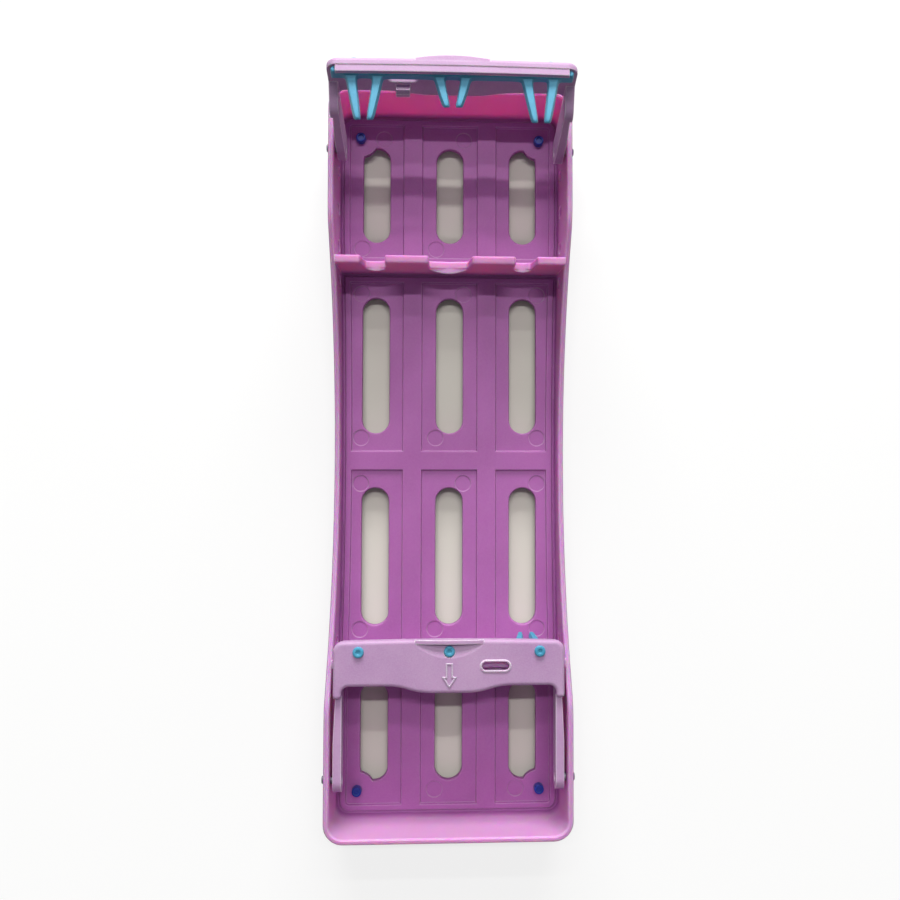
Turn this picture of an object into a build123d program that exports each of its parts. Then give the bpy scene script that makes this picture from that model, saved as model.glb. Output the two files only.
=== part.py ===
"""Sterilising tray for dental hand instruments, with two hinged hold-down brackets.

Millimetres. X is the width, Y the length, +Z up. The origin is on the table, under the middle
of the tray. The front bracket (at -Y) lies closed, the rear one (at +Y) stands open.
"""
import os
from math import radians, sqrt, tan

from build123d import *

os.makedirs("parts", exist_ok=True)

# Tray: outline and walls
tray_length = 205.0
tray_width = 67.2             # over the rim, at the ends
tray_height = 25.0            # rim above the table
wall_thickness = 1.5
wall_draft = 1.2              # degrees, every wall leans out
corner_radius = 5.3
waist_depth = 1.0             # each long side draws in by this at mid-length
waist_blend = 500.0
dip_depth = 13.0              # the long rims sink by this at mid-length
dip_before_pivot = 20.4       # waist and dip end this far before the pivots
dip_blend = 14.0
rim_break = 0.35
foot_stand = 1.8              # underside of the tray above the table
floor_thickness = 2.2
bottom_round = 2.0
inner_round = 0.5

# Floor: ribs and beads, slots, ejector marks
rib_width = 5.8
rib_height = 0.8
rib_offset = 10.75            # middle of each long rib from the middle of the tray
rib_draft = 20.0              # degrees
bead_width = 2.0
bead_gap = 0.7                # groove between a bead and the foot of its wall
slot_width = 7.8
slot_from_side = 12.3         # middle of the outer slots from the tray's side
mid_slot_start = 7.9
mid_slot_margin = 8.1         # end of the middle slots before the partition
end_slot_margin = 8.2         # start of the end slots past the partition
end_slot_inset = 11.0         # end of the end slots from the tray's end
slot_edge_break = 0.25
mark_radius = 2.3
mark_depth = 0.2
mark_column = 25.5
mark_stray = 4.0
mark_near = 6.6
mark_before_partition = 6.9
mark_past_partition = 6.4
mark_past_slots = 2.6
mark_end_column = 19.3

# Vents low in the long walls
vent_width = 3.2
vent_height = 5.0
vent_middle_height = 10.0
vent_before_partition = 4.4
vent_pitch = 10.45
vent_count = 4

# Notched partitions
partition_from_end = 47.1
partition_thickness = 2.2
partition_bite = 0.2          # ends of the partition sunk in the walls
partition_round = 0.45
notch_inner = 18.15           # inner side of each outer notch
left_notch_width = 6.7
right_notch_width = 5.9
mid_notch_width = 12.0
side_notch_depth = 8.6
mid_notch_depth = 8.4
notch_slant = 1.0
notch_sag = 0.6
notch_round = 0.8
mid_ledge = 1.2               # each notch's floor stands out towards mid-length by this
side_ledge = 0.6
ledge_thickness = 1.2

# Brackets: a bar on two arms
bracket_side_gap = 0.8        # beside the arms, to the tray's wall at the rim
arm_thickness = 2.3
arm_recess = 0.6              # outer face of the arm drawn in, behind the tab
arm_recess_length = 12.0      # the recess fades out over this
arm_half_height = 3.2
arm_step = 1.8                # top of the arm below the top of the bar
arm_slope_length = 4.2
bar_below_rim = 0.5
bar_thickness = 2.0
bar_past_partition = 7.0      # leading edge past the middle of the partition
bar_reach = 12.5              # leading edge to trailing edge, at the sides
bar_belly = 1.9               # the trailing edge bulges by this at mid-width
belly_start = 17.5
belly_end = 4.5
bar_crown = 0.5
bar_corner_radius = 2.8
bar_edge_round = 1.0
tab_past_bar = 3.3            # bar level carried on over each arm, past the trailing edge
tab_end_radius = 1.0
inner_corner_radius = 2.0
flange_depth = 1.8            # leading flange below the bar
flange_thickness = 1.2
flange_set_back = 0.2
lip_half_width = 9.3
lip_height = 0.9
lip_thickness = 1.2
scoop_length = 3.8
scoop_depth = 0.8
catch_offset = 12.5
catch_slot_length = 7.4
catch_slot_width = 2.3
catch_slot_depth_in = 7.15    # middle of the slot from the leading edge
catch_rim_width = 0.45
catch_rim_height = 0.25
catch_width = 3.6
catch_thickness = 1.3
catch_height = 3.0
catch_nose = 0.6

# Pivots
pivot_from_end = 15.85
pin_radius = 1.1
pin_proud = 1.0
pin_round = 0.4
pin_short = 0.2               # inner end of the pin short of the arm's inner face
open_angle = 101.5            # degrees

# Silicone finger strips
ribbon_thickness = 1.7
ribbon_width = 2.6
ribbon_round = 0.3
ribbon_inset = 1.1            # end of the ribbon from the side of the bracket
ribbon_hook = 0.7             # ends of the ribbon reach this far round the flange
knob_inset = 6.8              # outer knobs from the side of the bracket
knob_radius = 1.5
knob_height = 0.8
knob_round = 0.4
knob_hollow_radius = 0.6
knob_hollow_depth = 0.4
knob_sink = 0.5               # the middle knob sits this deep, in the scoop
neck_radius = 1.15
pair_inset = 9.4              # middle of the outer finger pairs from the side of the bracket
root_spread = 3.3             # root of a finger from the middle of its pair
tip_spread = 1.5
root_width = 3.4
tip_width = 1.8
root_thickness = 1.9
tip_thickness = 1.2
side_finger_length = 11.8
mid_finger_length = 8.0
finger_bow = 0.12             # at half length a finger is this much further out than straight
front_lean = 2.5              # the tips of the closed strip's right pair lean forward by this
tip_round = 0.5

# Silicone feet
foot_inset_x = 7.6            # from the tray's side
foot_inset_y = 8.5            # from the tray's end
foot_radius = 4.2
foot_round = 0.5
foot_seat_radius = 5.0
stem_radius = 1.15
head_radius = 1.45
head_height = 2.5
head_round = 0.5

# Clearances
running_clearance = 0.05      # pins in the arms, necks and stems in their holes
seat_clearance = 0.3          # closed bar above the partition
catch_clearance = 0.45        # catch and arms behind the partition
strip_clearance = 0.1         # ribbon beside the flange

# Places that follow from these sizes
underside = foot_stand
floor_top = foot_stand + floor_thickness
slope = tan(radians(wall_draft))
half_length = tray_length / 2
half_width = tray_width / 2
pivot_from_middle = half_length - pivot_from_end
dip_half_length = pivot_from_middle - dip_before_pivot
partition_middle = half_length - partition_from_end
partition_half = partition_thickness / 2
bar_top = tray_height - bar_below_rim
bar_underside = bar_top - bar_thickness
partition_top = bar_underside - seat_clearance
arm_top = bar_top - arm_step
pivot_height = arm_top - arm_half_height
bracket_half = half_width - wall_thickness - bracket_side_gap
arm_inner = bracket_half - arm_thickness
bar_lead = partition_middle - bar_past_partition
behind_partition = partition_middle + partition_half + catch_clearance
slot_offset = half_width - slot_from_side
ribbon_half = bracket_half - ribbon_inset
ribbon_front = bar_lead + bar_crown + flange_set_back + flange_thickness + strip_clearance
ribbon_middle = ribbon_front + ribbon_width / 2
ribbon_underside = bar_underside - ribbon_thickness
knob_places = [(x, -ribbon_middle) for x in (knob_inset - bracket_half, 0, bracket_half - knob_inset)]
foot_places = GridLocations(2 * (half_width - foot_inset_x), 2 * (half_length - foot_inset_y), 2, 2)
pivot_axis = Axis((0, pivot_from_middle, pivot_height), (1, 0, 0))


def rim_plan(inset):
    """Plan of the tray's rim, drawn in by inset: round corners and waisted long sides."""
    side = half_width - inset
    end = half_length - inset
    waist = side - waist_depth
    reach = dip_half_length
    with BuildSketch(mode=Mode.PRIVATE) as plan:
        with BuildLine():
            Polyline((side, -reach), (side, -end), (-side, -end), (-side, -reach))
            ThreePointArc((-side, -reach), (-waist, 0), (-side, reach))
            Polyline((-side, reach), (-side, end), (side, end), (side, reach))
            ThreePointArc((side, reach), (waist, 0), (side, -reach))
        make_face()
        fillet(plan.vertices().filter_by(lambda v: abs(v.Y) > end - 1), corner_radius - inset)
        fillet(plan.vertices().filter_by(lambda v: abs(abs(v.Y) - reach) < 0.01), waist_blend)
    return plan.sketch


def bar_plan():
    """Plan of the closed front bar, with the tabs that run back over its arms."""
    lead = -bar_lead
    trail = lead - bar_reach
    tab = trail - tab_past_bar
    with BuildSketch(mode=Mode.PRIVATE) as plan:
        with BuildLine():
            ThreePointArc((-bracket_half, lead - bar_crown), (0, lead), (bracket_half, lead - bar_crown))
            Polyline((bracket_half, lead - bar_crown), (bracket_half, tab), (arm_inner, tab),
                     (arm_inner, trail), (belly_start, trail))
            bend = (belly_start + belly_end) / 2
            low = trail - bar_belly
            Bezier((belly_start, trail), (bend, trail), (bend, low), (belly_end, low))
            Line((belly_end, low), (-belly_end, low))
            Bezier((-belly_end, low), (-bend, low), (-bend, trail), (-belly_start, trail))
            Polyline((-belly_start, trail), (-arm_inner, trail), (-arm_inner, tab),
                     (-bracket_half, tab), (-bracket_half, lead - bar_crown))
        make_face()
        fillet(plan.vertices().filter_by(lambda v: abs(v.Y - lead + bar_crown) < 0.01), bar_corner_radius)
        fillet(plan.vertices().filter_by(lambda v: abs(v.Y - tab) < 0.01), tab_end_radius)
        inner = plan.vertices().filter_by(
            lambda v: abs(v.Y - trail) < 0.01 and abs(abs(v.X) - arm_inner) < 0.01)
        fillet(inner, inner_corner_radius)
    return plan.sketch


def arm_profile():
    """Side of an arm of the closed front bracket: Y to the right, Z up."""
    low = pivot_height - arm_half_height
    front = -behind_partition
    with BuildSketch(mode=Mode.PRIVATE) as side:
        with BuildLine():
            ThreePointArc((-pivot_from_middle, low), (-pivot_from_middle - arm_half_height, pivot_height),
                          (-pivot_from_middle, arm_top))
            Polyline((-pivot_from_middle, arm_top), (-bar_lead - bar_reach, arm_top),
                     (front, bar_underside + bar_thickness / 4), (front, bar_underside),
                     (front - arm_slope_length, low), (-pivot_from_middle, low))
        make_face()
        fillet(side.vertices().sort_by(Axis.Y)[:2].sort_by(Axis.X)[-1], arm_half_height)
    return side.sketch


def arm_solid():
    """The arm on the +X side of the closed front bracket, its outer face drawn in behind the tab."""
    tab_end = -bar_lead - bar_reach - tab_past_bar
    with BuildPart(mode=Mode.PRIVATE) as arm:
        with BuildSketch(Plane.YZ.offset(arm_inner)):
            add(arm_profile())
        extrude(amount=arm_thickness)
        with BuildSketch(Plane.XY.offset(pivot_height - arm_half_height)):
            with BuildLine():
                Polyline((bracket_half, tab_end), (bracket_half - arm_recess, tab_end),
                         (bracket_half, tab_end - arm_recess_length), close=True)
            make_face()
        extrude(amount=2 * arm_half_height, mode=Mode.SUBTRACT)
    return arm.part


def catch_profile():
    """Side of the catch under the bar, its nose towards the partition: Y to the right, Z up."""
    front = -behind_partition
    back = front - catch_nose - catch_thickness
    low = bar_underside - catch_height
    with BuildSketch(mode=Mode.PRIVATE) as side:
        with BuildLine():
            Polyline((front - catch_nose, bar_underside + bar_thickness / 2),
                     (front - catch_nose, low + catch_height / 2), (front, low + catch_height / 3),
                     (front - catch_nose, low), (back, low),
                     (back, bar_underside + bar_thickness / 2), close=True)
        make_face()
    return side.sketch


def scoop_solid():
    """Shallow dish behind the thumb lip: part of a ball, cut off flat at the lip."""
    lip_back = -bar_lead - lip_thickness
    chord_radius = (lip_half_width ** 2 + scoop_length ** 2) / (2 * scoop_length)
    rise = (lip_half_width ** 2 - scoop_depth ** 2) / (2 * scoop_depth)
    ball_radius = sqrt(chord_radius ** 2 + rise ** 2)
    with BuildPart(mode=Mode.PRIVATE) as scoop:
        with Locations((0, lip_back - scoop_length + chord_radius, bar_top + rise)):
            Sphere(ball_radius)
        with Locations((0, lip_back, bar_top)):
            Box(2 * bracket_half, bar_reach, 2 * bar_thickness,
                align=(Align.CENTER, Align.MAX, Align.CENTER), mode=Mode.INTERSECT)
    return scoop.part


def notched_partition():
    """The rear partition, with a notch for each column of instruments."""
    wall_top = half_width - wall_thickness - slope * (tray_height - partition_top)
    drawn_in = waist_depth * (1 - (partition_middle / dip_half_length) ** 2)
    top_half = wall_top - drawn_in + partition_bite
    foot_half = top_half - slope * (partition_top - floor_top)
    left_end = -notch_inner - left_notch_width
    right_end = notch_inner + right_notch_width
    mid_half = mid_notch_width / 2
    side_low = partition_top - side_notch_depth
    mid_low = partition_top - mid_notch_depth
    with BuildPart(mode=Mode.PRIVATE) as partition:
        with BuildSketch(Plane.XZ.offset(-partition_middle - partition_half)) as face:
            with BuildLine():
                Polyline((-foot_half, floor_top - inner_round), (-top_half, partition_top),
                         (left_end, partition_top), (left_end + notch_slant, side_low))
                ThreePointArc((left_end + notch_slant, side_low),
                              ((left_end + notch_slant - notch_inner) / 2, side_low - notch_sag),
                              (-notch_inner, side_low))
                Polyline((-notch_inner, side_low), (-notch_inner, partition_top), (-mid_half, partition_top),
                         (-mid_half, mid_low), (0, mid_low - notch_sag), (mid_half - notch_slant, mid_low),
                         (mid_half, partition_top), (notch_inner, partition_top), (notch_inner, side_low))
                ThreePointArc((notch_inner, side_low),
                              ((right_end - notch_slant + notch_inner) / 2, side_low - notch_sag),
                              (right_end - notch_slant, side_low))
                Polyline((right_end - notch_slant, side_low), (right_end, partition_top),
                         (top_half, partition_top), (foot_half, floor_top - inner_round),
                         (-foot_half, floor_top - inner_round))
            make_face()
            bends = face.vertices().filter_by(lambda v: v.Y > floor_top and abs(v.X) < right_end + notch_slant)
            fillet(bends, notch_round)
        extrude(amount=partition_thickness)
        brim = partition.edges().filter_by(
            lambda e: e.center().Z > partition_top - side_notch_depth - 2 * notch_sag
            and abs(abs(e.center().Y - partition_middle) - partition_half) < 0.01
            and abs(e.center().X) < foot_half - notch_slant)
        fillet(brim, partition_round)
        # Ledges that carry the floors of the notches forward, bowed in plan
        face_y = partition_middle - partition_half
        left = (left_end + notch_slant, -notch_inner, side_low, side_ledge)
        middle = (-mid_half, mid_half - notch_slant, mid_low, mid_ledge)
        right = (notch_inner, right_end - notch_slant, side_low, side_ledge)
        for start, end, floor, reach in (left, middle, right):
            with BuildSketch(Plane.XY.offset(floor - notch_sag - ledge_thickness)):
                with BuildLine():
                    ThreePointArc((start, face_y), ((start + end) / 2, face_y - reach), (end, face_y))
                    Polyline((end, face_y), (end, partition_middle), (start, partition_middle), (start, face_y))
                make_face()
            extrude(amount=ledge_thickness)
    return partition.part


def floor_relief():
    """Raised lattice of the floor: long ribs, a cross rib, and a bead round each compartment."""
    bead_outer = wall_thickness + slope * (tray_height - floor_top) + bead_gap
    with BuildSketch(mode=Mode.PRIVATE) as panels:
        add(rim_plan(bead_outer + bead_width))
        with GridLocations(0, 2 * partition_middle, 1, 2):
            Rectangle(tray_width, partition_thickness + 2 * (bead_gap + bead_width), mode=Mode.SUBTRACT)
        with GridLocations(2 * rib_offset, 0, 2, 1):
            Rectangle(rib_width, tray_length, mode=Mode.SUBTRACT)
        Rectangle(tray_width, rib_width, mode=Mode.SUBTRACT)
    with BuildSketch(mode=Mode.PRIVATE) as lattice:
        add(rim_plan(bead_outer))
        with GridLocations(0, 2 * partition_middle, 1, 2):
            Rectangle(tray_width, partition_thickness + 2 * bead_gap, mode=Mode.SUBTRACT)
        add(panels.sketch, mode=Mode.SUBTRACT)
    return lattice.sketch


def finger_strip(lean):
    """Finger strip under the closed front bar; the tips of its +X pair lean forward by lean."""
    with BuildPart(mode=Mode.PRIVATE) as strip:
        with BuildSketch(Plane.XY.offset(ribbon_underside)):
            with Locations((0, -ribbon_middle)):
                Rectangle(2 * ribbon_half, ribbon_width)
            hook_inner = arm_inner + strip_clearance
            hook_width = ribbon_half - hook_inner
            for middle in (-hook_inner - hook_width / 2, hook_inner + hook_width / 2):
                with Locations((middle, -ribbon_middle + ribbon_hook / 2)):
                    Rectangle(hook_width, ribbon_width + ribbon_hook)
        extrude(amount=ribbon_thickness)
        fillet(strip.edges().filter_by(Axis.Z), ribbon_round)
        # Necks and dimpled knobs
        for place, sink in zip(knob_places, (0, knob_sink, 0)):
            seat = bar_top - sink
            with BuildSketch(Plane.XY.offset(bar_underside)):
                with Locations(place):
                    Circle(neck_radius)
            extrude(amount=seat - bar_underside)
            with BuildSketch(Plane.XY.offset(seat)):
                with Locations(place):
                    Circle(knob_radius)
            extrude(amount=knob_height)
            knob_edge = strip.faces().sort_by(Axis.Z)[-1].edges()
            if sink:
                knob_top = strip.faces().filter_by(
                    lambda f: abs(f.center().X) < 0.1 and abs(f.center().Z - seat - knob_height) < 0.01)
                knob_edge = knob_top.edges()
            fillet(knob_edge, knob_round)
            with BuildSketch(Plane.XY.offset(seat + knob_height)):
                with Locations(place):
                    Circle(knob_hollow_radius)
            extrude(amount=-knob_hollow_depth, taper=20, mode=Mode.SUBTRACT)
        # Fingers, in three converging pairs
        pair_middle = bracket_half - pair_inset
        pairs = ((-pair_middle, side_finger_length, 0), (0, mid_finger_length, 0),
                 (pair_middle, side_finger_length, lean))
        for middle, length, ahead in pairs:
            for side in (-1, 1):
                with BuildSketch(Plane.XY.offset(ribbon_underside)):
                    with Locations((middle + side * root_spread, -ribbon_middle)):
                        RectangleRounded(root_width, root_thickness, tip_round)
                half_spread = (root_spread + tip_spread) / 2 + finger_bow * root_spread
                with BuildSketch(Plane.XY.offset(ribbon_underside - length / 2)):
                    with Locations((middle + side * half_spread, -ribbon_middle + ahead / 4)):
                        RectangleRounded((root_width + tip_width) / 2, (root_thickness + tip_thickness) / 2,
                                         tip_round)
                with BuildSketch(Plane.XY.offset(ribbon_underside - length)):
                    with Locations((middle + side * tip_spread, -ribbon_middle + ahead)):
                        RectangleRounded(tip_width, tip_thickness, tip_round)
                loft()
    return strip.part


outer_plan = rim_plan(slope * (tray_height - underside))
inner_plan = rim_plan(wall_thickness + slope * (tray_height - floor_top))
relief = floor_relief()
rear_partition = notched_partition()
marks = [(x, mark_near) for x in (-mark_column, -mark_stray, mark_column)]
marks += [(x, partition_middle - mark_before_partition) for x in (-mark_column, mark_stray, mark_column)]
marks += [(x, partition_middle + mark_past_partition) for x in (-mark_column, -mark_stray)]
marks += [(x, half_length - end_slot_inset + mark_past_slots) for x in (-mark_end_column, mark_stray)]

# Space inside the walls
with BuildPart(mode=Mode.PRIVATE) as hollow:
    with BuildSketch(Plane.XY.offset(floor_top)):
        add(inner_plan)
    extrude(amount=tray_height - floor_top + wall_thickness, taper=-wall_draft)
    fillet(hollow.faces().sort_by(Axis.Z)[0].edges(), inner_round)

# Tray: one moulding with floor, walls and partitions
with BuildPart() as tray:
    with BuildSketch(Plane.XY.offset(underside)):
        add(outer_plan)
    extrude(amount=tray_height - underside, taper=-wall_draft)
    fillet(tray.faces().sort_by(Axis.Z)[0].edges(), bottom_round)
    add(hollow.part, mode=Mode.SUBTRACT)
    # The long rims sink towards mid-length
    with BuildSketch(Plane.YZ.offset(-tray_width)):
        with BuildLine():
            ThreePointArc((-dip_half_length, tray_height), (0, tray_height - dip_depth),
                          (dip_half_length, tray_height))
            above = tray_height + wall_thickness
            Polyline((dip_half_length, tray_height), (dip_half_length, above), (-dip_half_length, above),
                     (-dip_half_length, tray_height))
        make_face()
    extrude(amount=2 * tray_width, mode=Mode.SUBTRACT)
    dip_ends = tray.edges().filter_by(Axis.X).filter_by(
        lambda e: abs(abs(e.center().Y) - dip_half_length) < 0.01 and e.center().Z > tray_height - 0.01)
    fillet(dip_ends, dip_blend)
    rim_faces = tray.faces().filter_by(
        lambda f: f.normal_at().Z > 0.8 and f.center().Z > tray_height - dip_depth - 1)
    chamfer(rim_faces.edges().filter_by(lambda e: e.length > 2 * wall_thickness), rim_break)
    # Slots through the floor
    mid_slot_end = partition_middle - mid_slot_margin
    end_slot_start = partition_middle + end_slot_margin
    end_slot_end = half_length - end_slot_inset
    with BuildSketch():
        for start, end in ((mid_slot_start, mid_slot_end), (end_slot_start, end_slot_end)):
            with GridLocations(slot_offset, start + end, 3, 2):
                SlotOverall(end - start, slot_width, rotation=90)
    extrude(amount=floor_top + 1, mode=Mode.SUBTRACT)
    slot_edges = tray.edges().filter_by(
        lambda e: abs(e.center().Z - floor_top) < 0.01
        and abs(e.center().X) < slot_offset + slot_width / 2 + 0.1
        and abs(e.center().Y) < end_slot_end + 0.1)
    chamfer(slot_edges, slot_edge_break)
    # Seats and holes of the feet, and the ejector marks
    with BuildSketch(Plane.XY.offset(underside)):
        with foot_places:
            Circle(foot_seat_radius)
    extrude(amount=floor_thickness)
    with BuildSketch(Plane.XY.offset(underside)):
        with foot_places:
            Circle(stem_radius + running_clearance)
    extrude(amount=floor_thickness, mode=Mode.SUBTRACT)
    with BuildSketch(Plane.XY.offset(floor_top - mark_depth)):
        with PolarLocations(0, 2):
            with Locations(*marks):
                Circle(mark_radius)
    extrude(amount=mark_depth, mode=Mode.SUBTRACT)
    with BuildSketch(Plane.XY.offset(floor_top)):
        add(relief)
    extrude(amount=rib_height, taper=rib_draft)
    with PolarLocations(0, 2):
        add(rear_partition)
    # Vents and pivot holes through both long walls
    with BuildSketch(Plane.YZ.offset(-tray_width)):
        for step in range(vent_count):
            vent_y = partition_middle - vent_before_partition + step * vent_pitch
            with Locations((-vent_y, vent_middle_height), (vent_y, vent_middle_height)):
                SlotOverall(vent_height, vent_width, rotation=90)
        with Locations((-pivot_from_middle, pivot_height), (pivot_from_middle, pivot_height)):
            Circle(pin_radius)
    extrude(amount=2 * tray_width, mode=Mode.SUBTRACT)
tray.part.label = "tray"

# Bracket, modelled in its closed place at the front
plate = bar_plan()
right_arm = arm_solid()
catch_side = catch_profile()
scoop = scoop_solid()
with BuildPart() as front_bracket:
    with BuildSketch(Plane.XY.offset(bar_underside)):
        add(plate)
    extrude(amount=bar_thickness)
    top_edges = front_bracket.faces().sort_by(Axis.Z)[-1].edges()
    trail_edges = top_edges.filter_by(
        lambda e: abs(e.center().X) < bracket_half - 0.1 and e.center().Y < -bar_lead - bar_reach / 2)
    fillet(top_edges - trail_edges, bar_edge_round)
    # Leading flange
    with BuildSketch(Plane.XY.offset(bar_underside - flange_depth)):
        with Locations((0, -flange_set_back)):
            add(plate)
        with Locations((0, -flange_set_back - flange_thickness)):
            add(plate, mode=Mode.SUBTRACT)
        with Locations((0, -bar_lead - bar_reach / 2)):
            Rectangle(2 * arm_inner, bar_reach + 1, mode=Mode.INTERSECT)
    extrude(amount=flange_depth)
    # Thumb lip and the scoop behind it
    with BuildSketch(Plane.XZ.offset(bar_lead + bar_crown / 10)):
        with BuildLine():
            ThreePointArc((-lip_half_width, bar_top), (0, bar_top + lip_height), (lip_half_width, bar_top))
            Polyline((lip_half_width, bar_top), (lip_half_width, bar_underside),
                     (-lip_half_width, bar_underside), (-lip_half_width, bar_top))
        make_face()
    extrude(amount=lip_thickness)
    add(scoop, mode=Mode.SUBTRACT)
    # Arms
    add(right_arm)
    add(right_arm.mirror(Plane.YZ))
    with BuildSketch(Plane.YZ.offset(-tray_width)):
        with Locations((-pivot_from_middle, pivot_height)):
            Circle(pin_radius + running_clearance)
    extrude(amount=2 * tray_width, mode=Mode.SUBTRACT)
    # Catch, and the slot above it with its raised rim
    with BuildSketch(Plane.YZ.offset(catch_offset - catch_width / 2)):
        add(catch_side)
    extrude(amount=catch_width)
    slot_middle = (catch_offset, -bar_lead - catch_slot_depth_in)
    with BuildSketch(Plane.XY.offset(bar_top)):
        with Locations(slot_middle):
            SlotOverall(catch_slot_length + 2 * catch_rim_width, catch_slot_width + 2 * catch_rim_width)
    extrude(amount=catch_rim_height)
    with BuildSketch(Plane.XY.offset(bar_underside)):
        with Locations(slot_middle):
            SlotOverall(catch_slot_length, catch_slot_width)
        with Locations(*knob_places):
            Circle(neck_radius + running_clearance)
    extrude(amount=bar_thickness + catch_rim_height, mode=Mode.SUBTRACT)
    with BuildSketch(Plane.XY.offset(bar_top - knob_sink)):
        with Locations(knob_places[1]):
            Circle(knob_radius + running_clearance)
    extrude(amount=knob_sink + lip_height, mode=Mode.SUBTRACT)
front_bracket.part.label = "front_bracket"

# Finger strip, seated under the closed bar at the front
with BuildPart() as front_finger_strip:
    add(finger_strip(front_lean))
front_finger_strip.part.label = "front_finger_strip"

# The rear bracket and its strip, turned about and then swung open
with BuildPart() as rear_bracket:
    add(front_bracket.part.rotate(Axis.Z, 180).rotate(pivot_axis, -open_angle))
rear_bracket.part.label = "rear_bracket"

with BuildPart() as rear_finger_strip:
    add(finger_strip(0).rotate(Axis.Z, 180).rotate(pivot_axis, -open_angle))
rear_finger_strip.part.label = "rear_finger_strip"

# A foot: disc under the tray, stem through the floor, head above it
with BuildPart() as foot:
    with BuildSketch(Plane.XZ):
        with BuildLine():
            Polyline((0, 0), (foot_radius, 0), (foot_radius, underside), (stem_radius, underside),
                     (stem_radius, floor_top), (head_radius, floor_top),
                     (head_radius, floor_top + head_height), (0, floor_top + head_height), close=True)
        make_face()
    revolve(axis=Axis.Z)
    fillet(foot.edges().group_by(Axis.Z)[-1], head_round)
    fillet(foot.edges().group_by(Axis.Z)[0], foot_round)

# A pivot pin on the +X side, on the axis of its bracket
pin_outer = half_width - slope * (tray_height - pivot_height) + pin_proud
pin_inner = arm_inner + pin_short
with BuildPart() as pin:
    with BuildSketch(Plane.YZ.offset(pin_inner)):
        with Locations((0, pivot_height)):
            Circle(pin_radius)
    extrude(amount=pin_outer - pin_inner)
    fillet(pin.faces().sort_by(Axis.X)[-1].edges(), pin_round)

pieces = [tray, front_bracket, rear_bracket, front_finger_strip, rear_finger_strip]
for name, way in (("front", -1), ("rear", 1)):
    for hand, turn in (("left", -1), ("right", 1)):
        with BuildPart() as placed_foot:
            with Locations((turn * (half_width - foot_inset_x), way * (half_length - foot_inset_y), 0)):
                add(foot.part)
        placed_foot.part.label = f"{name}_{hand}_foot"
        with BuildPart() as placed_pin:
            with Locations((0, way * pivot_from_middle, 0)):
                add(pin.part if turn > 0 else pin.part.mirror(Plane.YZ))
        placed_pin.part.label = f"{name}_{hand}_pin"
        pieces += [placed_foot, placed_pin]

for piece in pieces:
    export_step(piece.part, f"parts/{piece.part.label}.step")
    print(piece.part.label, len(piece.part.solids()), round(piece.part.volume, 1))
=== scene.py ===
from math import radians
import bmesh
import bpy
from mathutils import Matrix, Vector


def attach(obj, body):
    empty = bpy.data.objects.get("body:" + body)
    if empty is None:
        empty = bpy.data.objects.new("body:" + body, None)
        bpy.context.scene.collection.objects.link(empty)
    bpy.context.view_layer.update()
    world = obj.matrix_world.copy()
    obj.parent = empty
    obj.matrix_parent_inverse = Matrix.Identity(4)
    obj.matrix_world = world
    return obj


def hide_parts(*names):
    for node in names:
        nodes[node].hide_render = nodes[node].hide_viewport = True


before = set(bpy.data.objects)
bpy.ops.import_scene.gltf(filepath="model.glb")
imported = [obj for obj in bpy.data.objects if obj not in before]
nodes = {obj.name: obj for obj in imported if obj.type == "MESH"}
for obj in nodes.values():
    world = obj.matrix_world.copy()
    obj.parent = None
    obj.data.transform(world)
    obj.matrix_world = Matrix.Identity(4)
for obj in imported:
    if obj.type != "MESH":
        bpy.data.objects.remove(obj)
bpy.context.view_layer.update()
mm = 0.001
tiny = 0.01  # mm, slack when a flat face or a straight edge is picked by its place
small = 0.05  # mm, the same for rings and for the roots of fingers
facing = 0.9  # least part of a face's normal along an axis when it is picked by that
print("frame loaded")


# small helpers used by every piece

def place(x, y, z):
    # the pieces are written in mm and built in metres
    return (x * mm, y * mm, z * mm)


def tone(red, green, blue):
    # a colour as read off a screen, 0 to 255, made linear
    def straight(value):
        value /= 255
        return value / 12.92 if value <= 0.04045 else ((value + 0.055) / 1.055) ** 2.4
    return (straight(red), straight(green), straight(blue), 1)


def blend(start, end, share):
    return start + (end - start) * share


def openPiece(name):
    # the primitive just added gets its name, has its place applied, and goes into edit mode
    piece = bpy.context.active_object
    piece.name = name
    piece.data.name = name
    bpy.ops.object.transform_apply(location=True, rotation=True, scale=True)
    bpy.ops.object.mode_set(mode="EDIT")
    bpy.ops.mesh.select_mode(type="FACE")
    return piece


def pickFaces(piece, rule):
    bpy.ops.mesh.select_all(action="DESELECT")
    bpy.ops.mesh.select_mode(type="FACE")
    mesh = bmesh.from_edit_mesh(piece.data)
    for face in mesh.faces:
        face.select_set(rule(face.calc_center_median() / mm, face.normal))
    bmesh.update_edit_mesh(piece.data)


def pickEdges(piece, rule):
    bpy.ops.mesh.select_all(action="DESELECT")
    bpy.ops.mesh.select_mode(type="EDGE")
    mesh = bmesh.from_edit_mesh(piece.data)
    for edge in mesh.edges:
        edge.select_set(rule(edge.verts[0].co / mm, edge.verts[1].co / mm))
    bmesh.update_edit_mesh(piece.data)


def moveBy(x, y, z):
    bpy.ops.transform.translate(value=place(x, y, z))


def extrudeBy(x, y, z):
    bpy.ops.mesh.extrude_region_move(TRANSFORM_OT_translate={"value": place(x, y, z)})


def sizeBy(x, y, z, middle):
    bpy.ops.transform.resize(value=(x, y, z), center_override=place(*middle))


def cutAcross(where, way):
    bpy.ops.mesh.select_all(action="SELECT")
    bpy.ops.mesh.bisect(plane_co=place(*where), plane_no=way)


def closePiece(piece, smoothAngle=None):
    bpy.ops.mesh.select_all(action="SELECT")
    bpy.ops.mesh.normals_make_consistent(inside=False)
    bpy.ops.object.mode_set(mode="OBJECT")
    if smoothAngle:
        bpy.ops.object.shade_smooth_by_angle(angle=radians(smoothAngle))
    else:
        bpy.ops.object.shade_smooth()
    bpy.ops.object.select_all(action="DESELECT")


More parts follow.
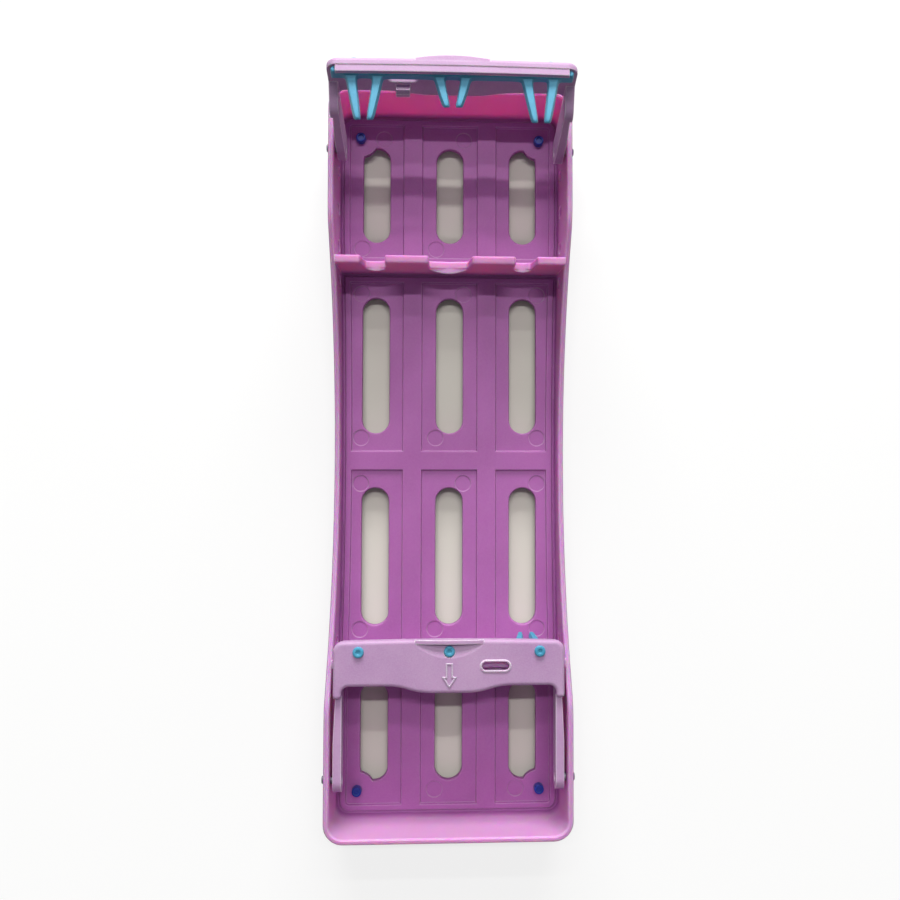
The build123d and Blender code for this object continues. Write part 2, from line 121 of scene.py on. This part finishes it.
def applySubdivision(piece, levels):
    bpy.context.view_layer.objects.active = piece
    modifier = piece.modifiers.new("round", "SUBSURF")
    modifier.levels = levels
    modifier.render_levels = levels
    bpy.ops.object.modifier_apply(modifier=modifier.name)


def moveWhole(piece, move):
    # moved by a matrix, which is then applied to the mesh
    bpy.ops.object.select_all(action="DESELECT")
    piece.matrix_world = move
    piece.select_set(True)
    bpy.context.view_layer.objects.active = piece
    bpy.ops.object.transform_apply(location=True, rotation=True, scale=True)
    bpy.ops.object.select_all(action="DESELECT")


def copyOf(piece, name, move):
    # a copy with its own mesh
    twin = piece.copy()
    twin.data = piece.data.copy()
    twin.name = name
    twin.data.name = name
    bpy.context.collection.objects.link(twin)
    moveWhole(twin, move)
    return twin


def joinInto(piece, parts):
    bpy.ops.object.select_all(action="DESELECT")
    for part in [*parts, piece]:
        part.select_set(True)
    bpy.context.view_layer.objects.active = piece
    bpy.ops.object.join()
    bpy.ops.object.select_all(action="DESELECT")


bpy.ops.object.select_all(action="DESELECT")

# the open bracket stands as the closed one turned about and swung up on its pins

pivot = {"y": 86.65, "z": 19.5, "open": 101.5}
swing = (Matrix.Translation(place(0, pivot["y"], pivot["z"]))
         @ Matrix.Rotation(radians(-pivot["open"]), 4, "X")
         @ Matrix.Translation(place(0, -pivot["y"], -pivot["z"]))
         @ Matrix.Rotation(radians(180), 4, "Z"))

# silicone finger strip, modelled at the closed bar

strip = {
    "half": 30.2, "front": 50.3, "width": 2.6, "top": 22.5, "thick": 1.7, "edge": 0.35,
    "hookFrom": 29.1, "hook": 0.7,
    "knobX": 24.5, "knobRadius": 1.5, "knobHeight": 0.75, "neckRadius": 1.15, "neckSunk": 0.1,
    "barTop": 24.5, "sunk": 0.5, "hollowRadius": 0.6, "hollowDepth": 0.4, "hollowTaper": 0.8,
    "hollowRound": 0.12, "knobRound": 0.4, "knobSides": 40,
    "pairX": 21.9, "rootSpread": 3.3, "tipSpread": 1.5, "rootWidth": 3.4, "tipWidth": 1.8,
    "rootThick": 1.9, "tipThick": 1.2, "sideLength": 11.8, "midLength": 8.0, "bow": 0.02,
    "frontLean": 2.5, "leanCurve": 1.5, "draft": 0.45, "draftFrom": 0.15,
    # where the ribbon is cut for the roots, in shares of a root's width and thickness
    "rootCuts": (-0.5, -0.43, 0.43, 0.5), "ribbonCuts": (-0.4, 0.4),
    # rings down a finger: share of its length, and how full it is there
    "rings": ((0.05, 0.9), (0.12, 0.84), (0.4, 0.9), (0.7, 0.97),
              (0.93, 1.0), (0.985, 0.78), (1.0, 0.4)),
}
stripMiddle = -strip["front"] - strip["width"] / 2
stripLow = strip["top"] - strip["thick"]


def growFinger(piece, pairX, side, length, lean):
    # drawn down from the ribbon ring by ring, narrower and nearer to its twin towards the tip
    rootX = pairX + side * strip["rootSpread"]
    halfRoot = strip["rootWidth"] / 2
    pickFaces(piece, lambda c, n: n.z < -facing and abs(c.x - rootX) < halfRoot
              and abs(c.z - stripLow) < small and abs(c.y - stripMiddle) < strip["rootThick"] / 2)
    wide, thick, middle, ahead, down, narrow = 1, 1, rootX, 0, 0, 1
    for share, swell in strip["rings"]:
        plainWidth = blend(strip["rootWidth"], strip["tipWidth"], share)
        nextWide = plainWidth / strip["rootWidth"] * swell
        nextThick = blend(1, strip["tipThick"] / strip["rootThick"], share) * swell
        # the bow is fullest halfway down
        bow = strip["bow"] * strip["rootSpread"] * 4 * share * (1 - share)
        nextMiddle = pairX + side * (blend(strip["rootSpread"], strip["tipSpread"], share) + bow)
        nextAhead = lean * share ** strip["leanCurve"]
        extrudeBy(nextMiddle - middle, nextAhead - ahead, -(share * length - down))
        down = share * length
        centre = (nextMiddle, stripMiddle + nextAhead, stripLow - down)
        sizeBy(nextWide / wide, nextThick / thick, 1, centre)
        # the face towards the middle of the tray is narrower, so that the sides slope
        nextNarrow = 1 - 2 * strip["draft"] / plainWidth
        low = centre[2] + 2 * tiny
        half = plainWidth / 2 + small
        pickEdges(piece, lambda a, b: max(a.z, b.z) < low and abs(a.x + b.x - 2 * nextMiddle) < 2 * half
                  and min(a.y, b.y) > centre[1] + strip["draftFrom"])
        sizeBy(nextNarrow / narrow, 1, 1, centre)
        pickFaces(piece, lambda c, n: n.z < -facing and c.z < low and abs(c.x - nextMiddle) < half)
        wide, thick, middle, ahead, narrow = nextWide, nextThick, nextMiddle, nextAhead, nextNarrow


def makeKnob(x, seat):
    # neck up through the bar, round head with a dimple
    neckLow = strip["top"] - strip["neckSunk"]
    bpy.ops.mesh.primitive_cylinder_add(vertices=strip["knobSides"], radius=strip["neckRadius"] * mm,
                                        depth=(seat - neckLow) * mm,
                                        location=place(x, stripMiddle, (seat + neckLow) / 2))
    knob = openPiece("knob")
    pickFaces(knob, lambda c, n: n.z > facing)
    extrudeBy(0, 0, 0)
    middle = (x, stripMiddle, seat)
    grow = strip["knobRadius"] / strip["neckRadius"]
    sizeBy(grow, grow, 1, middle)
    extrudeBy(0, 0, strip["knobHeight"])
    bpy.ops.mesh.inset(thickness=(strip["knobRadius"] - strip["hollowRadius"]) * mm)
    extrudeBy(0, 0, -strip["hollowDepth"])
    sizeBy(strip["hollowTaper"], strip["hollowTaper"], 1, middle)
    # the head's outer rim is rounded, and the dimple's a little
    crown = Vector((x, stripMiddle, seat + strip["knobHeight"]))
    pickEdges(knob, lambda a, b: min(a.z, b.z) > crown.z - tiny
              and min((a - crown).length, (b - crown).length) > strip["knobRadius"] - small)
    bpy.ops.mesh.bevel(offset=strip["knobRound"] * mm, segments=4)
    pickEdges(knob, lambda a, b: min(a.z, b.z) > crown.z - tiny
              and max((a - crown).length, (b - crown).length) < strip["hollowRadius"] + small)
    bpy.ops.mesh.bevel(offset=strip["hollowRound"] * mm, segments=2)
    closePiece(knob, smoothAngle=40)
    return knob


def makeStrip(name, lean):
    # lean bends the tips of the pair on the right forward, as on the closed bar
    middle = place(0, stripMiddle, strip["top"] - strip["thick"] / 2)
    lengths = place(2 * strip["half"], strip["width"], strip["thick"])
    bpy.ops.mesh.primitive_cube_add(size=1, location=middle, scale=lengths)
    piece = openPiece(name)
    bpy.ops.mesh.select_all(action="SELECT")
    bpy.ops.mesh.bevel(offset=strip["edge"] * mm, segments=2)
    # hooks round the ends of the flange
    for side in (-1, 1):
        cutAcross((side * strip["hookFrom"], 0, 0), (1, 0, 0))
    pickFaces(piece, lambda c, n: n.y > facing and abs(c.x) > strip["hookFrom"])
    extrudeBy(0, strip["hook"], 0)
    # cuts across the ribbon where each finger springs, and two along it
    pairs = ((-strip["pairX"], strip["sideLength"], 0), (0, strip["midLength"], 0),
             (strip["pairX"], strip["sideLength"], lean))
    fingers = [(pairX, side, length, ahead) for pairX, length, ahead in pairs for side in (-1, 1)]
    for pairX, side, length, ahead in fingers:
        rootX = pairX + side * strip["rootSpread"]
        for step in strip["rootCuts"]:
            cutAcross((rootX + step * strip["rootWidth"], 0, 0), (1, 0, 0))
    for step in strip["ribbonCuts"]:
        cutAcross((0, stripMiddle + step * strip["rootThick"], 0), (0, 1, 0))
    for finger in fingers:
        growFinger(piece, *finger)
    closePiece(piece)
    applySubdivision(piece, levels=2)
    # the middle knob sits in the finger scoop
    seats = ((-strip["knobX"], strip["barTop"]), (0, strip["barTop"] - strip["sunk"]),
             (strip["knobX"], strip["barTop"]))
    joinInto(piece, [makeKnob(x, seat) for x, seat in seats])
    return piece


frontStrip = makeStrip("frontSiliconeStrip", strip["frontLean"])
rearStrip = makeStrip("rearSiliconeStrip", 0)
moveWhole(rearStrip, swing)
for piece, node, body in ((frontStrip, "front_finger_strip", "front_bracket"),
                          (rearStrip, "rear_finger_strip", "rear_bracket")):
    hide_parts(node)
    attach(piece, body)
print("finger strips made")

# soft foot: disc under the tray, stem through the floor, plug above it

foot = {
    "x": 26.0, "y": 94.0, "radius": 4.2, "height": 1.8, "edge": 0.4, "stem": 1.15, "floor": 4.0,
    "head": 1.45, "headHigh": 2.5, "headEdge": 0.25, "topRing": 0.25, "topSink": 0.7, "taper": 0.94,
    "sides": 48,
}


def makeFoot(name):
    bpy.ops.mesh.primitive_cylinder_add(vertices=foot["sides"], radius=foot["radius"] * mm,
                                        depth=foot["height"] * mm,
                                        location=place(0, 0, foot["height"] / 2))
    piece = openPiece(name)
    pickFaces(piece, lambda c, n: n.z > facing)
    bpy.ops.mesh.inset(thickness=(foot["radius"] - foot["stem"]) * mm)
    extrudeBy(0, 0, foot["floor"] - foot["height"])
    extrudeBy(0, 0, 0)
    grow = foot["head"] / foot["stem"]
    sizeBy(grow, grow, 1, (0, 0, foot["floor"]))
    extrudeBy(0, 0, foot["headHigh"])
    sizeBy(foot["taper"], foot["taper"], 1, (0, 0, foot["floor"]))
    bpy.ops.mesh.inset(thickness=(foot["topRing"] + foot["headEdge"]) * mm)
    extrudeBy(0, 0, -foot["topSink"])
    # rounded plug and disc
    top = foot["floor"] + foot["headHigh"]
    pickEdges(piece, lambda a, b: min(a.z, b.z) > top - tiny
              and min(a.xy.length, b.xy.length) > foot["stem"])
    bpy.ops.mesh.bevel(offset=foot["headEdge"] * mm, segments=4)
    pickEdges(piece, lambda a, b: max(a.z, b.z) < tiny
              and min(a.xy.length, b.xy.length) > foot["radius"] - small)
    bpy.ops.mesh.bevel(offset=foot["edge"] * mm, segments=4)
    closePiece(piece, smoothAngle=35)
    return piece


firstFoot = makeFoot("footShape")
feet = []
for end, wayY in (("front", -1), ("rear", 1)):
    for hand, wayX in (("Left", -1), ("Right", 1)):
        corner = Matrix.Translation(place(wayX * foot["x"], wayY * foot["y"], 0))
        piece = copyOf(firstFoot, end + hand + "Plug", corner)
        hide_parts(end + "_" + hand.lower() + "_foot")
        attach(piece, "tray")
        feet.append(piece)
bpy.data.objects.remove(firstFoot)
print("feet made")

# raised outline of an arrow on each bar, pointing to its trailing edge

arrow = {
    "from": 54.7, "neck": 58.3, "tip": 61.1, "shaft": 0.95, "head": 2.0, "shoulder": 0.05, "point": 0.1,
    "line": 0.4, "high": 0.25, "low": 24.4, "top": 24.5,
}


def makeArrow(name):
    # shaft, shoulder and point are drawn out flat, then only their outline is kept, raised above
    # the bar and sunk a little into it
    middleY = -(arrow["from"] + arrow["neck"]) / 2
    shoulderY = -arrow["neck"] - arrow["shoulder"]
    bpy.ops.mesh.primitive_plane_add(size=mm, location=place(0, middleY, arrow["top"]))
    bpy.context.active_object.scale = (2 * arrow["shaft"], arrow["neck"] - arrow["from"], 1)
    piece = openPiece(name)
    pickEdges(piece, lambda a, b: max(a.y, b.y) < -arrow["neck"] + tiny)
    extrudeBy(0, -arrow["shoulder"], 0)
    sizeBy(arrow["head"] / arrow["shaft"], 1, 1, (0, shoulderY, arrow["top"]))
    extrudeBy(0, -arrow["tip"] - shoulderY, 0)
    sizeBy(arrow["point"], 1, 1, (0, -arrow["tip"], arrow["top"]))
    bpy.ops.mesh.select_mode(type="FACE")
    bpy.ops.mesh.select_all(action="SELECT")
    bpy.ops.mesh.inset(thickness=arrow["line"] * mm)
    bpy.ops.mesh.delete(type="FACE")
    bpy.ops.mesh.select_all(action="SELECT")
    extrudeBy(0, 0, arrow["high"])
    pickFaces(piece, lambda c, n: c.z < arrow["top"] + tiny and abs(n.z) > facing)
    moveBy(0, 0, arrow["low"] - arrow["top"])
    closePiece(piece, smoothAngle=30)
    return piece


frontArrow = makeArrow("frontBarArrow")
rearArrow = copyOf(frontArrow, "rearBarArrow", swing)
for piece, body in ((frontArrow, "front_bracket"), (rearArrow, "rear_bracket")):
    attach(piece, body)
print("arrows made")


# small helpers for node trees, then the effects that more than one material uses

def newGroup(name, inputs, outputs):
    group = bpy.data.node_groups.new(name, "ShaderNodeTree")
    for label, kind, value in inputs:
        socket = group.interface.new_socket(label, in_out="INPUT", socket_type="NodeSocket" + kind)
        if value is not None:
            socket.default_value = value
    for label, kind in outputs:
        group.interface.new_socket(label, in_out="OUTPUT", socket_type="NodeSocket" + kind)
    return group, group.nodes.new("NodeGroupInput"), group.nodes.new("NodeGroupOutput")


def feed(tree, socket, value):
    # a number or a colour stays on the socket, and another node's output is linked to it
    if isinstance(value, (int, float, tuple)):
        socket.default_value = value
    else:
        tree.links.new(value, socket)


def mathNode(tree, operation, first, second):
    node = tree.nodes.new("ShaderNodeMath")
    node.operation = operation
    feed(tree, node.inputs[0], first)
    feed(tree, node.inputs[1], second)
    return node.outputs[0]


def noiseNode(tree, vector, scale, detail, roughness):
    node = tree.nodes.new("ShaderNodeTexNoise")
    values = {"Vector": vector, "Scale": scale, "Detail": detail, "Roughness": roughness}
    for label, value in values.items():
        feed(tree, node.inputs[label], value)
    return node.outputs[0]


def rangeNode(tree, value, fromLow, fromHigh, toLow=0.0, toHigh=1.0):
    node = tree.nodes.new("ShaderNodeMapRange")
    for socket, number in zip(node.inputs, (value, fromLow, fromHigh, toLow, toHigh)):
        feed(tree, socket, number)
    return node.outputs[0]


def splitNode(tree, vector):
    node = tree.nodes.new("ShaderNodeSeparateXYZ")
    tree.links.new(vector, node.inputs[0])
    return node


def mixColour(tree, share, first, second):
    node = tree.nodes.new("ShaderNodeMix")
    node.data_type = "RGBA"
    # the colour sockets of this node come after those for numbers and vectors
    for key, value in (("Factor", share), (6, first), (7, second)):
        feed(tree, node.inputs[key], value)
    return node.outputs[2]


def addGroup(tree, group, **values):
    node = tree.nodes.new("ShaderNodeGroup")
    node.node_tree = group
    for label, value in values.items():
        feed(tree, node.inputs[label], value)
    return node


# values that all the moulded materials share
moulding = {
    "fineDetail": 4, "fineRough": 0.6, "fineShare": 0.7,
    "pitScale": 0.45, "pitDetail": 2, "pitShare": 0.5,
    "broadDetail": 2, "evenRough": 0.5, "spanLow": 0.3, "spanHigh": 0.7,
    "bevelSamples": 6, "roughDown": 0.06, "roughUp": 0.08,
}

# grain of a moulded surface: a height for bump, and slow and fine variation as masks
grainGroup, groupIn, groupOut = newGroup(
    "mouldedGrain", [("Place", "Vector", None), ("Fine", "Float", 2600.0), ("Broad", "Float", 60.0)],
    [("Height", "Float"), ("Mottle", "Float"), ("Cloud", "Float")])
spot = groupIn.outputs["Place"]
fineScale = groupIn.outputs["Fine"]
broadScale = groupIn.outputs["Broad"]
pitScale = mathNode(grainGroup, "MULTIPLY", fineScale, moulding["pitScale"])
fine = noiseNode(grainGroup, spot, fineScale, moulding["fineDetail"], moulding["fineRough"])
broad = noiseNode(grainGroup, spot, broadScale, moulding["broadDetail"], moulding["evenRough"])
pits = noiseNode(grainGroup, spot, pitScale, moulding["pitDetail"], moulding["evenRough"])
height = mathNode(grainGroup, "ADD", mathNode(grainGroup, "MULTIPLY", fine, moulding["fineShare"]),
                  mathNode(grainGroup, "MULTIPLY", pits, moulding["pitShare"]))
grainGroup.links.new(height, groupOut.inputs["Height"])
for noise, label in ((fine, "Mottle"), (broad, "Cloud")):
    grainGroup.links.new(rangeNode(grainGroup, noise, moulding["spanLow"], moulding["spanHigh"]),
                         groupOut.inputs[label])

# painted highlight along edges: how far a rounded normal leans away from the face's own
edgeGroup, groupIn, groupOut = newGroup(
    "paintedEdgeHighlight", [("Radius", "Float", 0.0004), ("Gain", "Float", 3.0)],
    [("Edge", "Float"), ("Soft Normal", "Vector")])
bevel = edgeGroup.nodes.new("ShaderNodeBevel")
bevel.samples = moulding["bevelSamples"]
edgeGroup.links.new(groupIn.outputs["Radius"], bevel.inputs["Radius"])
geometry = edgeGroup.nodes.new("ShaderNodeNewGeometry")
alike = edgeGroup.nodes.new("ShaderNodeVectorMath")
alike.operation = "DOT_PRODUCT"
edgeGroup.links.new(bevel.outputs[0], alike.inputs[0])
edgeGroup.links.new(geometry.outputs["Normal"], alike.inputs[1])
away = mathNode(edgeGroup, "SUBTRACT", 1.0, alike.outputs["Value"])
edge = mathNode(edgeGroup, "MULTIPLY", away, groupIn.outputs["Gain"])
edgeGroup.links.new(rangeNode(edgeGroup, edge, 0.0, 1.0), groupOut.inputs["Edge"])
edgeGroup.links.new(bevel.outputs[0], groupOut.inputs["Soft Normal"])


def newMaterial(name):
    material = bpy.data.materials.new(name)
    material.use_nodes = True
    tree = material.node_tree
    where = tree.nodes.new("ShaderNodeTexCoord").outputs["Object"]
    return material, tree, tree.nodes["Principled BSDF"], where


def addBump(tree, shader, look, height, normal=None):
    bump = tree.nodes.new("ShaderNodeBump")
    bump.inputs["Strength"].default_value = look["bump"]
    bump.inputs["Distance"].default_value = look["bumpDepth"] * mm
    tree.links.new(height, bump.inputs["Height"])
    if normal:
        tree.links.new(normal, bump.inputs["Normal"])
    tree.links.new(bump.outputs[0], shader.inputs["Normal"])


def mouldedMaterial(name, look):
    # one recipe for the plastics and the silicones, each with its own values
    material, tree, shader, where = newMaterial(name)
    grain = addGroup(tree, grainGroup, Place=where, Fine=look["grain"], Broad=look["broad"])
    edge = addGroup(tree, edgeGroup, Radius=look["edgeRadius"] * mm, Gain=look["edgeGain"])
    body = mixColour(tree, grain.outputs["Cloud"], look["deep"], look["body"])
    speckle = mathNode(tree, "MULTIPLY", grain.outputs["Mottle"], look["speckle"])
    body = mixColour(tree, speckle, body, look["pale"])
    # share of the painted highlight along the edges
    edgeHighlight = mathNode(tree, "MULTIPLY", edge.outputs["Edge"], look["edgeShare"])
    shader.inputs["Subsurface Weight"].default_value = look["soft"]
    if "rimFrom" in look:
        # painted light: the walls are paler than the floor, and the up-facing faces along their tops
        # most of all
        height = splitNode(tree, where).outputs["Z"]
        normal = tree.nodes.new("ShaderNodeNewGeometry").outputs["Normal"]
        upward = splitNode(tree, normal).outputs["Z"]
        upward = rangeNode(tree, upward, look["upwardFrom"], look["upwardTo"])
        rim = rangeNode(tree, height, look["rimFrom"] * mm, look["rimTo"] * mm, 0.0, look["rimPaintedLight"])
        top = mathNode(tree, "MULTIPLY", upward, rim)
        wall = rangeNode(tree, height, look["wallFrom"] * mm, look["wallTo"] * mm)
        side = mathNode(tree, "MULTIPLY", wall, look["sidePaintedLight"])
        body = mixColour(tree, mathNode(tree, "MAXIMUM", top, side), body, look["pale"])
        # the painted edge highlight is weaker on the floor's low relief
        edgeHighlight = mathNode(tree, "MULTIPLY", edgeHighlight, rangeNode(tree, wall, 0.0, 1.0, look["floorHighlight"], 1.0))
        # only the walls are thin enough to let much light through
        soft = rangeNode(tree, wall, 0.0, 1.0, look["floorSoft"], look["soft"])
        tree.links.new(soft, shader.inputs["Subsurface Weight"])
    # painted highlight: the edges are lightened towards the edge colour
    body = mixColour(tree, edgeHighlight, body, look["edge"])
    tree.links.new(body, shader.inputs["Base Color"])
    rough = rangeNode(tree, grain.outputs["Mottle"], 0.0, 1.0, look["rough"] - moulding["roughDown"],
                      look["rough"] + moulding["roughUp"])
    tree.links.new(rough, shader.inputs["Roughness"])
    addBump(tree, shader, look, grain.outputs["Height"], edge.outputs["Soft Normal"])
    shader.inputs["IOR"].default_value = look["ior"]
    shader.inputs["Subsurface Radius"].default_value = look["softColour"]
    shader.inputs["Subsurface Scale"].default_value = look["softDepth"] * mm
    shader.inputs["Sheen Weight"].default_value = look["sheen"]
    return material


# in each look, edge is the colour of the painted highlight along edges, and edgeShare how much of it is
# painted
trayLook = {
    "body": tone(176, 99, 173), "deep": tone(164, 88, 160),
    "pale": tone(220, 168, 208), "edge": tone(253, 236, 247),
    "speckle": 0.1, "edgeShare": 0.9, "edgeRadius": 0.4, "edgeGain": 5.0,
    # the rim and wall values paint light: the walls and the up-facing rim tops are made paler, towards
    # the same pale colour that the random speckle uses
    # rim and wall heights in mm above the table
    "rimFrom": 16.0, "rimTo": 22.0, "rimPaintedLight": 0.3, "upwardFrom": 0.2, "upwardTo": 0.9,
    "wallFrom": 5.0, "wallTo": 9.0, "sidePaintedLight": 0.6, "floorHighlight": 0.3, "floorSoft": 0.15,
    "grain": 2600.0, "broad": 55.0, "rough": 0.52, "bump": 0.3, "bumpDepth": 0.06, "ior": 1.45,
    "soft": 0.95, "softColour": (1.0, 0.04, 0.5), "softDepth": 5.5, "sheen": 0.0,
}
bracketLook = {
    "body": tone(188, 150, 188), "deep": tone(176, 134, 178),
    "pale": tone(230, 212, 230), "edge": tone(255, 244, 254),
    "speckle": 0.16, "edgeShare": 1.0, "edgeRadius": 0.45, "edgeGain": 6.0,
    "grain": 2400.0, "broad": 60.0, "rough": 0.5, "bump": 0.35, "bumpDepth": 0.06, "ior": 1.45,
    "soft": 0.25, "softColour": (1.0, 0.4, 0.7), "softDepth": 1.6, "sheen": 0.0,
}
stripLook = {
    "body": tone(70, 158, 190), "deep": tone(52, 138, 172),
    "pale": tone(130, 202, 222), "edge": tone(190, 232, 240),
    "speckle": 0.15, "edgeShare": 0.35, "edgeRadius": 0.25, "edgeGain": 2.0,
    "grain": 3000.0, "broad": 90.0, "rough": 0.48, "bump": 0.2, "bumpDepth": 0.05, "ior": 1.41,
    "soft": 0.25, "softColour": (0.3, 0.8, 1.0), "softDepth": 0.8, "sheen": 0.1,
}
footLook = {
    "body": tone(14, 52, 166), "deep": tone(8, 36, 132),
    "pale": tone(40, 84, 180), "edge": tone(70, 120, 210),
    "speckle": 0.15, "edgeShare": 0.3, "edgeRadius": 0.25, "edgeGain": 2.0,
    "grain": 3000.0, "broad": 120.0, "rough": 0.42, "bump": 0.2, "bumpDepth": 0.05, "ior": 1.41,
    "soft": 0.15, "softColour": (0.2, 0.5, 1.0), "softDepth": 0.8, "sheen": 0.1,
}
pinLook = {
    "bright": tone(120, 116, 128), "dark": tone(70, 64, 78),
    "turning": 1800.0, "along": 0.05, "detail": 3, "uneven": 0.6,
    "colourSpan": (0.35, 0.65), "roughSpan": (0.3, 0.7), "roughFrom": 0.24, "roughTo": 0.42,
    "bump": 0.2, "bumpDepth": 0.02,
}


def turnedSteel(name, look):
    # fine rings round the axis of a pin, which runs along X, by noise that is drawn out across it
    material, tree, shader, where = newMaterial(name)
    stretch = tree.nodes.new("ShaderNodeMapping")
    stretch.inputs["Scale"].default_value = (1, look["along"], look["along"])
    tree.links.new(where, stretch.inputs["Vector"])
    rings = noiseNode(tree, stretch.outputs[0], look["turning"], look["detail"], look["uneven"])
    body = mixColour(tree, rangeNode(tree, rings, *look["colourSpan"]), look["dark"], look["bright"])
    tree.links.new(body, shader.inputs["Base Color"])
    rough = rangeNode(tree, rings, *look["roughSpan"], look["roughFrom"], look["roughTo"])
    tree.links.new(rough, shader.inputs["Roughness"])
    addBump(tree, shader, look, rings)
    shader.inputs["Metallic"].default_value = 1
    return material


def giveMaterial(piece, material):
    if not piece.material_slots:
        piece.data.materials.append(material)
    for slot in piece.material_slots:
        slot.material = material


trayPlastic = mouldedMaterial("trayPlastic", trayLook)
bracketPlastic = mouldedMaterial("bracketPlastic", bracketLook)
stripSilicone = mouldedMaterial("stripSilicone", stripLook)
footSilicone = mouldedMaterial("footSilicone", footLook)
pinSteel = turnedSteel("pinSteel", pinLook)
dressed = (
    ([nodes["tray"]], trayPlastic),
    ([nodes["front_bracket"], nodes["rear_bracket"], frontArrow, rearArrow], bracketPlastic),
    ([frontStrip, rearStrip], stripSilicone),
    (feet, footSilicone),
    ([node for name, node in nodes.items() if name.endswith("_pin")], pinSteel),
)
for pieces, material in dressed:
    for piece in pieces:
        giveMaterial(piece, material)
print("materials given")

# floor, light and camera

studio = {
    "floorSize": 8.0, "floorRough": 0.7, "floorLift": 0.75,
    "tableColour": tone(222, 218, 206), "roundColour": tone(250, 250, 248),
    "bounceColour": tone(84, 82, 78),  # what the floor sends back up as light
    # half the width and length of the table under the tray, and its soft border, in mm
    "underX": 33.0, "underY": 102.0, "underFade": 5.0,
    "skyStrength": 0.16, "skyColour": (0.98, 0.98, 1.0, 1),
    # watts, metres, and degrees from straight above
    "highLamp": {"power": 186.0, "far": 8.0, "tilt": 19.8, "long": 4.3, "deep": 0.2},
    "lowLamp": {"power": 105.0, "far": 8.0, "tilt": 35.8, "long": 4.3, "deep": 0.2},
    "backLamp": {"power": 18.5, "far": 1.2, "tilt": 66.5, "long": 0.8, "deep": 0.4},
}


def seenMask(tree):
    # 1 for what is seen, also in a reflection or through glass, and 0 for what only lights the object
    path = tree.nodes.new("ShaderNodeLightPath")
    seen = mathNode(tree, "MAXIMUM", path.outputs["Is Camera Ray"], path.outputs["Is Glossy Ray"])
    return mathNode(tree, "MAXIMUM", seen, path.outputs["Is Transmission Ray"])


bpy.ops.mesh.primitive_plane_add(size=studio["floorSize"], location=(0, 0, 0))
floor = bpy.context.active_object
floor.name = "studioFloor"
floorPaint, tree, shader, where = newMaterial("studioFloorPaint")
shader.inputs["Roughness"].default_value = studio["floorRough"]
seen = seenMask(tree)
# near white all round, and the table's own colour under the tray, where it shows through the slots
split = splitNode(tree, where)
sides = []
for axis, half in (("X", studio["underX"]), ("Y", studio["underY"])):
    distance = mathNode(tree, "ABSOLUTE", split.outputs[axis], 0.0)
    sides.append(rangeNode(tree, distance, (half - studio["underFade"]) * mm, half * mm))
outside = mathNode(tree, "MULTIPLY", seen, mathNode(tree, "MAXIMUM", *sides))
shown = mixColour(tree, outside, studio["tableColour"], studio["roundColour"])
tree.links.new(mixColour(tree, seen, studio["bounceColour"], shown), shader.inputs["Base Color"])
# all round it is lifted to white, with the tray's shadow kept
glow = tree.nodes.new("ShaderNodeEmission")
mix = tree.nodes.new("ShaderNodeMixShader")
tree.links.new(mathNode(tree, "MULTIPLY", outside, studio["floorLift"]), mix.inputs[0])
tree.links.new(shader.outputs[0], mix.inputs[1])
tree.links.new(glow.outputs[0], mix.inputs[2])
tree.links.new(mix.outputs[0], tree.nodes["Material Output"].inputs["Surface"])
giveMaterial(floor, floorPaint)

world = bpy.data.worlds.new("studioSky")
world.use_nodes = True
tree = world.node_tree
sky = tree.nodes["Background"]
sky.inputs["Color"].default_value = studio["skyColour"]
# white where it is seen, dim where it lights
tree.links.new(mathNode(tree, "MAXIMUM", seenMask(tree), studio["skyStrength"]), sky.inputs["Strength"])
bpy.context.scene.world = world

# two far tubes across the tray and a broad low light, each tilted from straight above to the rear
for name in ("highLamp", "lowLamp", "backLamp"):
    lamp = studio[name]
    turn = Matrix.Rotation(radians(-lamp["tilt"]), 4, "X")
    bpy.ops.object.light_add(type="AREA", location=turn @ Vector((0, 0, lamp["far"])))
    light = bpy.context.active_object
    light.name = name
    light.rotation_euler = turn.to_euler()
    light.data.shape = "RECTANGLE"
    light.data.size = lamp["long"]
    light.data.size_y = lamp["deep"]
    light.data.energy = lamp["power"]

# the camera stands where it sees the tray as the photo does
view = {
    "place": (-0.003867407, -0.001449860, 0.321497494),
    "turn": (0.04331544, -0.05548494, 0.00370977),
    "lens": 43.635, "sensor": 36.0, "shiftX": -0.05172, "shiftY": -0.03503, "near": 0.01,
}
bpy.ops.object.camera_add(location=view["place"])
camera = bpy.context.active_object
camera.name = "photoCamera"
camera.rotation_mode = "ZYX"
camera.rotation_euler = view["turn"]
camera.data.lens = view["lens"]
camera.data.sensor_width = view["sensor"]
camera.data.shift_x = view["shiftX"]
camera.data.shift_y = view["shiftY"]
camera.data.clip_start = view["near"]
camera.data.dof.use_dof = False
bpy.context.scene.camera = camera
bpy.context.scene.view_settings.view_transform = "Standard"
print("floor, light and camera set")
